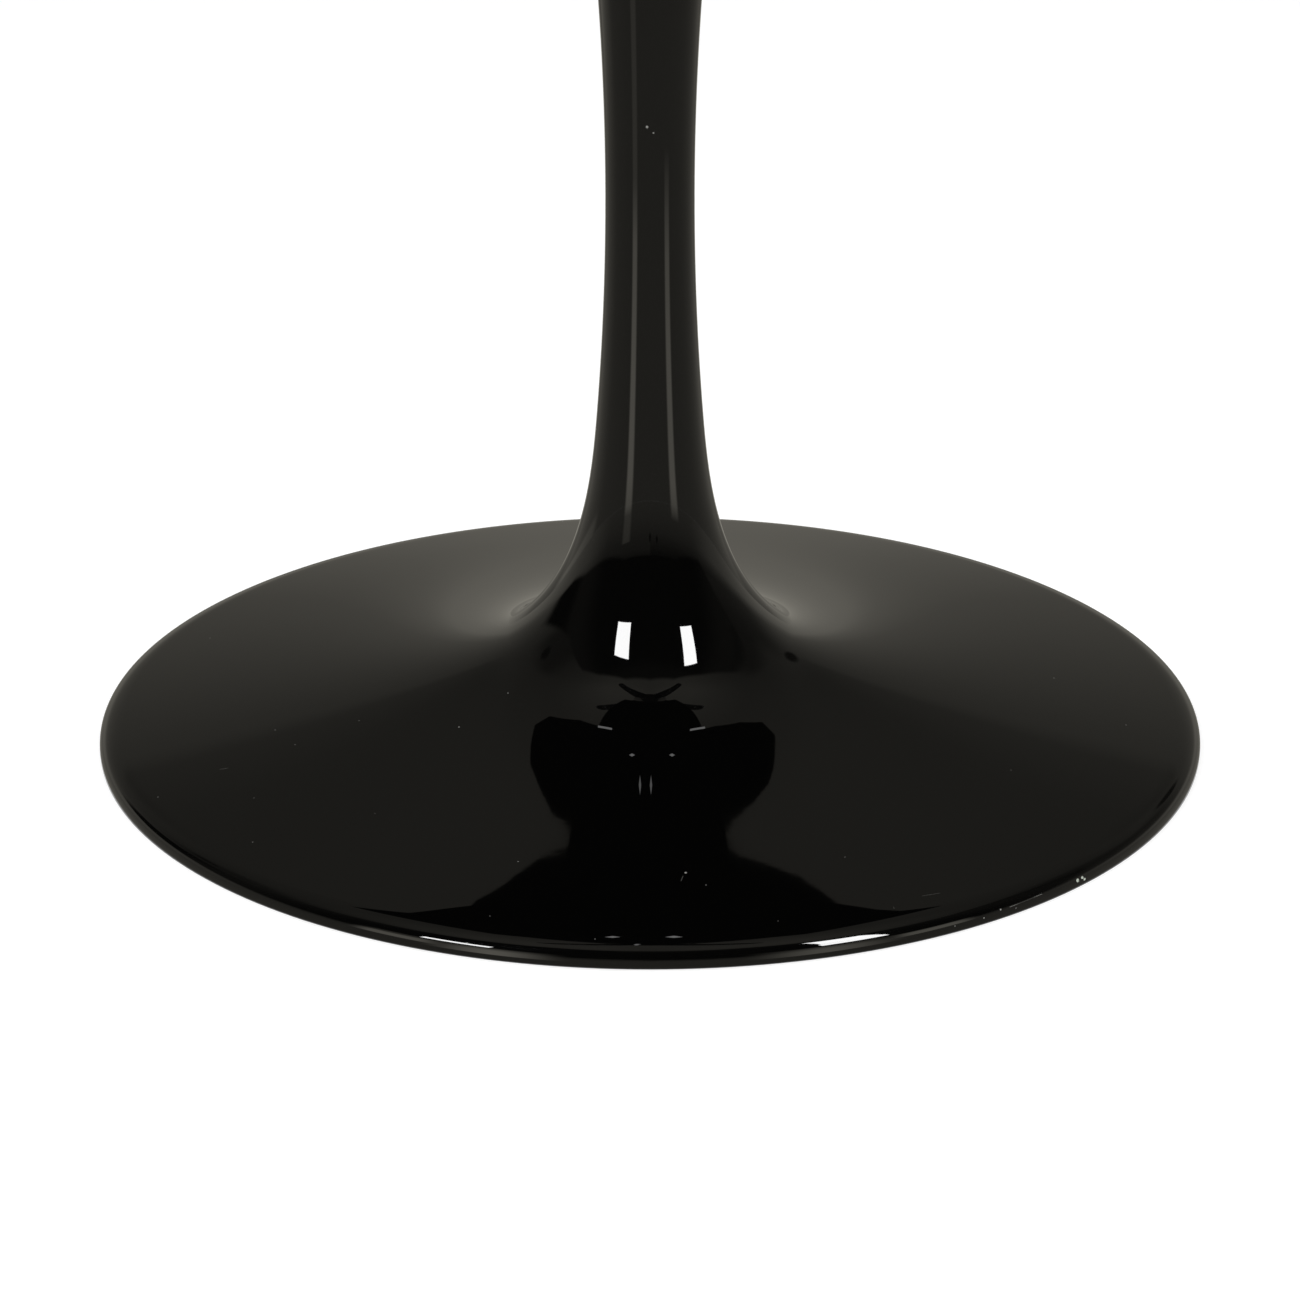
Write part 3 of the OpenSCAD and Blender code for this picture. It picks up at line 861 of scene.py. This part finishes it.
# Brightness of the room by elevation, at the back and the sides and at the camera's side
ROOM = [(0, 0.38), (7, 0.37), (9, 0.30), (12, 0.235), (17, 0.20), (24, 0.155), (30, 0.135), (45, 0.13),
        (56, 0.15), (66, 0.22), (75, 0.27), (90, 0.28)]
FRONT_LOW = [(0, 0.29), (4, 0.24), (9, 0.16), (14, 0.11)]
# How far it changes: a dip at the back, a lift high at the sides, shade low on the right and half way up
BACK_DIP, SIDE_LIFT, RIGHT_SHADE, SIDES_SHADE = 0.035, 0.06, 0.5, 0.45
# The dark side of the room: its lower and upper edge by degrees from the camera's side, left and right
LEFT, RIGHT = -1, 1
DARK_LOW = {LEFT: [(0, 14), (40, 14), (60, 12), (76, 11), (98, 11), (114, 8.5), (130, 10)],
            RIGHT: [(0, 14), (40, 14), (60, 12), (76, 11), (86, 16), (98, 26), (110, 38)]}
DARK_TOP = {LEFT: [(0, 77), (45, 74), (75, 65), (88, 58), (95, 38), (106, 30), (127, 19)],
            RIGHT: [(0, 77), (45, 74), (75, 65), (109, 51)]}
DARK_END = {LEFT: (122, 132), RIGHT: (98, 112)}
# Its brightness in the middle, towards its ends and high up
DARK_MIDDLE, DARK_SIDES, DARK_HIGH = 0.012, 0.05, 0.035
# Dark patches in the room: compass direction, elevation, half width and half height
PATCH_LEVEL = 0.03
DARK_PATCHES = [(-64, 37, 4, 3), (37, 27, 5, 3.5), (90, 38, 5, 3), (103, 16, 4, 2.5), (180, 9, 1.6, 1.6),
                (169, 9.5, 1.6, 1.4)]


def room_level(az, el):
    """How bright the room is in a direction, as the gloss of the base shows it."""
    front, side = apart(az, 180), LEFT if az < 0 else RIGHT
    level = table(el, ROOM)
    if el < FRONT_LOW[-1][0]:
        level = mix(table(el, FRONT_LOW), level, step(front, 66, 104))
    level -= BACK_DIP * within(el, 24.8, 26.4, 30, 44) * (1 - step(abs(az), 24, 38))
    level += SIDE_LIFT * math.sin(math.radians(az)) ** 2 * within(el, 62, 76, 84, 90)
    if side == RIGHT:
        level *= 1 - RIGHT_SHADE * step(az, 34, 56) * within(el, 7, 14, 24, 34)
    level *= 1 - SIDES_SHADE * step(abs(az), 50, 66) * within(el, 24, 32, 44, 56)
    for a, e, wide, high in DARK_PATCHES:
        off = math.hypot(apart(az, a) / wide, (el - e) / high)
        level = mix(PATCH_LEVEL, level, step(off, 0.6, 1.15))
    low, top = table(front, DARK_LOW[side]), table(front, DARK_TOP[side])
    dark = within(el, low - 1, low + 1, top - 1.5, top + 1.5) * (1 - step(front, *DARK_END[side]))
    inner = mix(DARK_MIDDLE, DARK_SIDES, step(front, 62, 90)) * (1 - 0.8 * step(front, 96, 108))
    inner = mix(inner, DARK_HIGH, step(el, 62, 72) * (1 - step(front, 62, 100)))
    return mix(level, inner, dark)


DOME_R, COLUMNS, ROWS = 6.0, 360, 120
elevations = [90 * i / ROWS for i in range(ROWS + 1)]
bearings = [-180 + 360 * j / COLUMNS for j in range(COLUMNS)]
shaded_grid("studio_dome", [[direction(az, el) * DOME_R for az in bearings] for el in elevations],
            [[room_level(az, el) for az in bearings] for el in elevations])

# The floor by compass direction, its brighter stretch on the left, and the rings of its card
FLOOR = [(-180, 0.29), (-110, 0.29), (-85, 0.27), (-70, 0.30), (-38, 0.30), (-33, 0.2), (-25, 0.2),
         (-20, 0.38), (20, 0.38), (25, 0.2), (33, 0.2), (38, 0.30), (90, 0.28), (115, 0.29), (180, 0.29)]
FLOOR_BRIGHT, FLOOR_CARD_Z = 0.5, 0.0004
REACHES = [0.342, 0.4, 0.5, 0.6, 0.7, 0.85, 1.0, 1.15, 1.3, 1.5, 1.7, 1.9, 2.2, 2.6, 3.2, 4.2, 5.9]


def floor_level(az, r):
    bright = (step(az, -82, -72) - step(az, -42, -34)) * step(r, 1.3, 1.9)
    return mix(table(az, FLOOR), FLOOR_BRIGHT, bright)


shaded_grid("floor_card",
            [[direction(az, 0) * r + Vector((0, 0, FLOOR_CARD_Z)) for az in bearings] for r in REACHES],
            [[floor_level(az, r) for az in bearings] for r in REACHES])


def card(name, corners, level, one_sided=False):
    look = glow(name + "_glow", level, one_sided=one_sided)
    obj = mesh_object(name, corners, [tuple(range(len(corners)))], look)
    unseen(obj)
    return obj


# Softboxes, by the pixels of the photo at which the flare shows their corners
SOFTBOX_LEVEL, SOFTBOX_REACH = 24.0, 5.0
SOFTBOXES = {"softbox_left": [(618.5, 621.5), (631, 622.5), (628.5, 659.5), (614.5, 655)],
             "softbox_right": [(680, 626.5), (691, 625.5), (697, 663), (684.5, 666)]}
for name, pixels in SOFTBOXES.items():
    corners = [mirrored(*pixel) for pixel in pixels]
    card(name, [p + d * SOFTBOX_REACH for p, d in corners], SOFTBOX_LEVEL)


def shown_at(pixels, z):
    """The points at height z that the gloss shows at pixels of the photo."""
    out = []
    for pixel in pixels:
        p, d = mirrored(*pixel)
        out.append(p + d * ((z - p.z) / d.z))
    return out


# A dark card above and behind the object, by the pixels of the photo at which the foot shows its edge: from
# the middle of its near side along the right, then back along the left. The foot doesn't show its far end.
OVERHEAD_Z, OVERHEAD_END_X, OVERHEAD_END_Y = 0.70, 0.090, 0.610
OVERHEAD_RIGHT = [(650, 732), (690, 731), (715, 726), (740, 722), (762, 722), (775, 735), (775, 755),
                  (820, 890), (800, 877), (770, 865), (740, 855), (727, 840)]
OVERHEAD_LEFT = [(570, 835), (565, 847), (540, 857), (520, 872), (500, 887), (477, 900), (531, 745),
                 (535, 725), (550, 716), (580, 720), (600, 726), (620, 730)]
far_end = [(x, OVERHEAD_END_Y, OVERHEAD_Z) for x in (OVERHEAD_END_X, -OVERHEAD_END_X)]
sides = [shown_at(pixels, OVERHEAD_Z) for pixels in (OVERHEAD_RIGHT, OVERHEAD_LEFT)]
card("overhead_dark", sides[0] + far_end + sides[1], 0.0)

# A one-sided dark strip keeps the stem's own reflection out of the foot's front
STRIP_X, STRIP_Y, STRIP_LOW, STRIP_HIGH = 0.045, -0.050, 0.140, 0.300
card("stem_strip", [(-STRIP_X, STRIP_Y, STRIP_LOW), (STRIP_X, STRIP_Y, STRIP_LOW),
                    (STRIP_X, STRIP_Y, STRIP_HIGH), (-STRIP_X, STRIP_Y, STRIP_HIGH)], 0.0, True)


def down_card(name, z, points, level):
    """A level card close to the rim that is seen only from below; its points run clockwise from above."""
    area = sum(a[0] * b[1] - b[0] * a[1] for a, b in zip(points, points[1:] + points[:1]))
    return card(name, [(x, y, z) for x, y in (points if area < 0 else points[::-1])], level, True)


# Above the front of the rim: a dark card, and two dashes of light with the dark beside the left one
RIM_DARK_Z, DASH_Z, DASH_DARK_Z = 0.050, 0.060, 0.061
DASH_LEVEL, DASH_DARK_LEVEL = 24.0, 0.01
RIM_DARK = [(-0.177, -0.256), (-0.127, -0.2517), (-0.100, -0.250), (0.0, -0.245), (0.100, -0.247),
            (0.130, -0.250), (0.172, -0.250), (0.091, -0.2965), (0.0, -0.3135), (-0.091, -0.2965)]
DASH_LEFT = [(-0.170, -0.353), (-0.189, -0.369), (-0.134, -0.396), (-0.119, -0.376)]
DASH_DARK = [(-0.115, -0.329), (-0.155, -0.395), (-0.032, -0.423), (-0.022, -0.351)]
DASH_RIGHT = [(0.172, -0.3435), (0.191, -0.3595), (0.138, -0.3845), (0.123, -0.3645)]
down_card("rim_dark", RIM_DARK_Z, RIM_DARK, 0.0)
down_card("dash_left", DASH_Z, DASH_LEFT, DASH_LEVEL)
down_card("dash_dark", DASH_DARK_Z, DASH_DARK, DASH_DARK_LEVEL)
down_card("dash_right", DASH_Z, DASH_RIGHT, DASH_LEVEL)

# Small lights seen from below, as the photo shows them in its pixels: middle, half width and half height;
# then their brightness and their height above the floor
SMALL_LIGHTS = {"glint_left": (612.5, 937, 8, 0.9, 1.7, 0.049), "glint_right": (674, 937, 9, 0.9, 1.7, 0.049),
                "dot_left": (632, 755, 3, 1.6, 1.5, 0.050), "dot_right": (672, 755, 3, 1.6, 1.5, 0.050),
                "line_left": (640, 785, 1.2, 10, 0.9, 0.046), "line_right": (651, 785, 1.2, 10, 0.9, 0.046)}
for name, (x, y, wide, high, level, z) in SMALL_LIGHTS.items():
    pixels = [(x - wide, y), (x, y - high), (x + wide, y), (x, y + high)]
    card(name, shown_at(pixels, z), level, True)

# Two bright edges at the top of the dark shape, by the pixels of their corners
EDGE_LEVEL, EDGE_Z = 1.8, 0.056
EDGES = {"edge_left": [(598, 727.5), (598, 725.5), (612, 728), (612, 730)],
         "edge_right": [(690, 731), (690, 729), (705, 726.5), (705, 728.5)]}
for name, pixels in EDGES.items():
    card(name, shown_at(pixels, EDGE_Z), EDGE_LEVEL, True)


def veil(name, rows, strength, cover):
    """A glow that fades into what lies behind it: rows of points, and how much each point covers."""
    n = len(rows[0])
    faces = [(k * n + j, k * n + j + 1, k * n + n + j + 1, k * n + n + j)
             for k in range(len(rows) - 1) for j in range(n - 1)]
    look = Nodes(name + "_glow")
    light = look.shader("Emission", Color=TINT, Strength=strength)
    look.show(look.either(look.stored("cover"), look.shader("BsdfTransparent"), light))
    obj = mesh_object(name, [p for row in rows for p in row], faces, look.owner)
    store(obj, "cover", cover)
    unseen(obj)
    return obj


def upright(name, az, r, offsets, heights, strength, full, end):
    """A veil that stands on a circle about the stem and fades sideways; heights are (z, cover)."""
    rows = [[direction(az + a, 0) * r + Vector((0, 0, z)) for a in offsets] for z, c in heights]
    cover = [[c * (1 - step(abs(a), full, end)) for a in offsets] for z, c in heights]
    veil(name, rows, strength, cover)


# Upright lights beside the camera, which the stem shows as soft streaks: compass direction, strength, heights
STAND_R, STAND_FULL, STAND_HALF = 0.7, 3.5, 8.0
STANDS = {"stand_left": (-142, 1.5, [(0.010, 1.0), (0.100, 1.0), (0.140, 0.8), (0.160, 0.25), (0.230, 0.2)]),
          "stand_right": (137, 1.4, [(0.010, 1.0), (0.105, 1.0), (0.135, 0.8), (0.170, 0.0)])}
offsets = [STAND_HALF * k / 8 for k in range(-8, 9)]
for name, (az, strength, heights) in STANDS.items():
    upright(name, az, STAND_R, offsets, heights, strength, STAND_FULL, STAND_HALF)

# Soft upright glows close outside the rim, which its side shows: compass direction, half width, strength
RIM_GLOW_R = 0.358
RIM_GLOW_HEIGHTS = [(0.0006, 1.0), (0.010, 1.0), (0.015, 0.6), (0.021, 0.0)]
RIM_GLOWS = {"rim_glow_left": (-164.4, 8, 1.9), "rim_glow_right": (162.3, 9, 1.4)}
for name, (az, half, strength) in RIM_GLOWS.items():
    offsets = [half * k / 12 for k in range(-12, 13)]
    upright(name, az, RIM_GLOW_R, offsets, RIM_GLOW_HEIGHTS, strength, 0, half)

# White ground that keeps a soft shadow, and a world that is brighter where it is seen
GROUND_HALF, GROUND_SOFT, GROUND_PAPER, GROUND_LIFT = 14, (0.8, 0.8, 0.8, 1), (0.45, 0.45, 0.45, 1), 0.72
WORLD_SEEN, WORLD_SOFT = 1.0, 0.62
n = Nodes("white_ground")
add = n.new("ShaderNodeAddShader")
n.put(add.inputs[0], n.shader("BsdfDiffuse", Color=GROUND_PAPER))
n.put(add.inputs[1], n.shader("Emission", Strength=GROUND_LIFT))
n.show(n.either(n.seen(), n.shader("BsdfDiffuse", Color=GROUND_SOFT), add.outputs[0]))
g = GROUND_HALF
mesh_object("floor", [(-g, -g, 0), (g, -g, 0), (g, g, 0), (-g, g, 0)], [(0, 1, 2, 3)], n.owner)

w = Nodes("studio_world", world=True)
soft, white = (w.shader("Background", Strength=level) for level in (WORLD_SOFT, WORLD_SEEN))
w.show(w.either(w.seen(), soft, white))
bpy.context.scene.world = w.owner


def lamp(name, place, size, power):
    """A soft round lamp aimed at the stem, which no reflection shows."""
    data = bpy.data.lights.new(name, "AREA")
    data.shape, data.size, data.energy = "DISK", size, power
    obj = bpy.data.objects.new(name, data)
    obj.location = place
    obj.rotation_euler = (Vector((0, 0, LAMP_AIM_Z)) - Vector(place)).to_track_quat("-Z", "Y").to_euler()
    obj.visible_glossy = obj.visible_camera = False
    bpy.context.scene.collection.objects.link(obj)
    return obj


LAMP_AIM_Z = 0.3
lamp("key", (-1.6, -1.8, 2.6), 1.4, 42)
lamp("fill", (1.9, -1.2, 2.2), 1.6, 26)

bpy.context.scene.view_settings.view_transform = "Standard"
